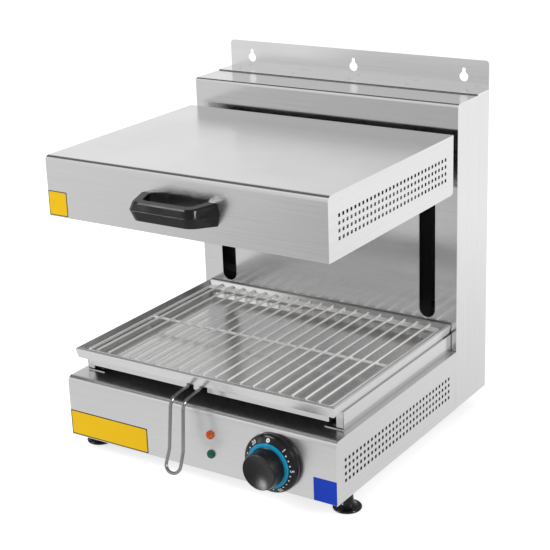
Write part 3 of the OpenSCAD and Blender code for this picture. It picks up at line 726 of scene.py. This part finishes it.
def add_world():
    """White to the camera, and an even grey to matt surfaces. Reflections show a white room
    that is dark overhead, darkest above the left, a little dimmer to the front and right, and
    has a large soft light high at the front left."""
    world = bpy.data.worlds.new("studio")
    bpy.context.scene.world = world
    world.use_nodes = True
    tree = world.node_tree
    nodes, links = tree.nodes, tree.links

    def feed(socket, value):
        """Puts a number on a socket or links another node's output to it."""
        if isinstance(value, float):
            socket.default_value = value
        else:
            links.new(value, socket)

    def maths(operation, first, second):
        node = nodes.new("ShaderNodeMath")
        node.operation = operation
        feed(node.inputs[0], first)
        feed(node.inputs[1], second)
        return node.outputs[0]

    def graded(direction, start, end, low, high):
        """low where the view points less than start toward the direction, high past end."""
        facing = nodes.new("ShaderNodeVectorMath")
        facing.operation = "DOT_PRODUCT"
        links.new(way, facing.inputs[0])
        facing.inputs[1].default_value = Vector(direction).normalized()
        node = nodes.new("ShaderNodeMapRange")
        node.interpolation_type = "SMOOTHSTEP"
        spans = {"From Min": start, "From Max": end, "To Min": low, "To Max": high}
        for name, value in spans.items():
            feed(node.inputs[name], value)
        links.new(facing.outputs["Value"], node.inputs["Value"])
        return node.outputs["Result"]

    way = nodes.new("ShaderNodeTexCoord").outputs["Generated"]
    ceiling = graded((1, 0, 0), start=-0.46, end=-0.26, low=0.15, high=0.62)
    overhead = graded((0, 0, 1), start=0.36, end=0.56, low=1.0, high=ceiling)
    to_front = graded((0, -1, 0), start=-0.2, end=0.5, low=1.0, high=0.8)
    to_right = graded((1, 0, 0), start=-0.62, end=-0.42, low=1.0, high=0.84)
    soft_light = graded((-0.52, -0.60, 0.61), start=0.91, end=0.985, low=0.0, high=1.0)
    room = maths("MULTIPLY", maths("MULTIPLY", overhead, to_right), to_front)
    room = maths("MAXIMUM", room, soft_light)
    rays = nodes.new("ShaderNodeLightPath")
    glossy = rays.outputs["Is Glossy Ray"]
    white = maths("MAXIMUM", rays.outputs["Is Camera Ray"], rays.outputs["Is Transmission Ray"])
    plain = maths("MULTIPLY", maths("SUBTRACT", 1.0, glossy), maths("MAXIMUM", white, WORLD_LIGHT))
    strength = maths("ADD", maths("MULTIPLY", glossy, room), plain)
    background = nodes["Background"]
    background.inputs["Color"].default_value = (1.0, 1.0, 1.0, 1.0)
    links.new(strength, background.inputs["Strength"])


def soft_box(name, place, target, width, height, radiance, only=None):
    """A rectangular lamp. Shiny surfaces don't show it, but for those in only, where given."""
    light = bpy.data.lights.new(name, "AREA")
    light.shape = "RECTANGLE"
    light.size = width
    light.size_y = height
    light.energy = radiance * math.pi * width * height
    lamp = bpy.data.objects.new(name, light)
    lamp.location = place
    aim = Vector(target) - Vector(place)
    lamp.rotation_euler = aim.to_track_quat("-Z", "Y").to_euler()
    lamp.visible_glossy = only is not None
    lamp.light_linking.receiver_collection = only
    bpy.context.scene.collection.objects.link(lamp)


def collected(name, slots, pieces=()):
    """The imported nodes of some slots, and some pieces, for lamps that light nothing else."""
    group = bpy.data.collections.new(name)
    for part in frame["record"]["subparts"]:
        if part["material_slot"] in slots:
            group.objects.link(frame["nodes"][part["node"]])
    for piece in pieces:
        group.objects.link(piece)
    return group


def add_lamps():
    """Two soft lamps for everything, and three that put sheen on mouldings and wires alone."""
    soft_box("key", place=(-1.8, -2.2, 2.6), target=(0, 0, 0.25),
             width=2.0, height=2.0, radiance=4.3)
    soft_box("fill", place=(2.6, -1.0, 1.8), target=(0, 0, 0.25),
             width=1.6, height=1.6, radiance=1.8)
    mouldings = collected("black mouldings", ("black_plastic",))
    glints = collected("mouldings and wires", ("black_plastic", "bright_wire"), (grid_welds,))
    soft_box("low sheen", place=(-1.85, -2.55, 0.35), target=(0.13, -0.24, 0.07),
             width=1.3, height=0.8, radiance=24.0, only=mouldings)
    soft_box("high sheen", place=(-1.3, -1.1, 2.3), target=(0, -0.2, 0.4),
             width=1.2, height=1.2, radiance=8.0, only=mouldings)
    soft_box("right sheen", place=(2.4, -0.3, 1.35), target=(0, -0.25, 0.4),
             width=0.5, height=0.9, radiance=22.0, only=glints)


def add_camera():
    """The photograph's camera, fitted to the object's corners."""
    yaw, down, roll = math.radians(33.69), math.radians(19.41), math.radians(-2.05)
    place = at(1101.1, -1440.8, 917.4)
    focal_px, picture_px, sensor_mm = 1450.6, 550.0, 36.0
    look = Vector((-math.sin(yaw) * math.cos(down), math.cos(yaw) * math.cos(down),
                   -math.sin(down)))
    level = Vector((math.cos(yaw), math.sin(yaw), 0.0))
    up = level.cross(look)
    right = math.cos(roll) * level + math.sin(roll) * up
    top = -math.sin(roll) * level + math.cos(roll) * up
    lens = bpy.data.cameras.new("camera")
    lens.sensor_width = sensor_mm
    lens.lens = focal_px / picture_px * sensor_mm
    lens.clip_start = 0.05
    lens.clip_end = 50.0
    camera = bpy.data.objects.new("camera", lens)
    turned = Matrix((right, top, -look)).transposed().to_4x4()
    camera.matrix_world = Matrix.Translation(place) @ turned
    bpy.context.scene.collection.objects.link(camera)
    bpy.context.scene.camera = camera


add_floor()
add_world()
add_lamps()
add_camera()
bpy.context.scene.view_settings.view_transform = "Standard"
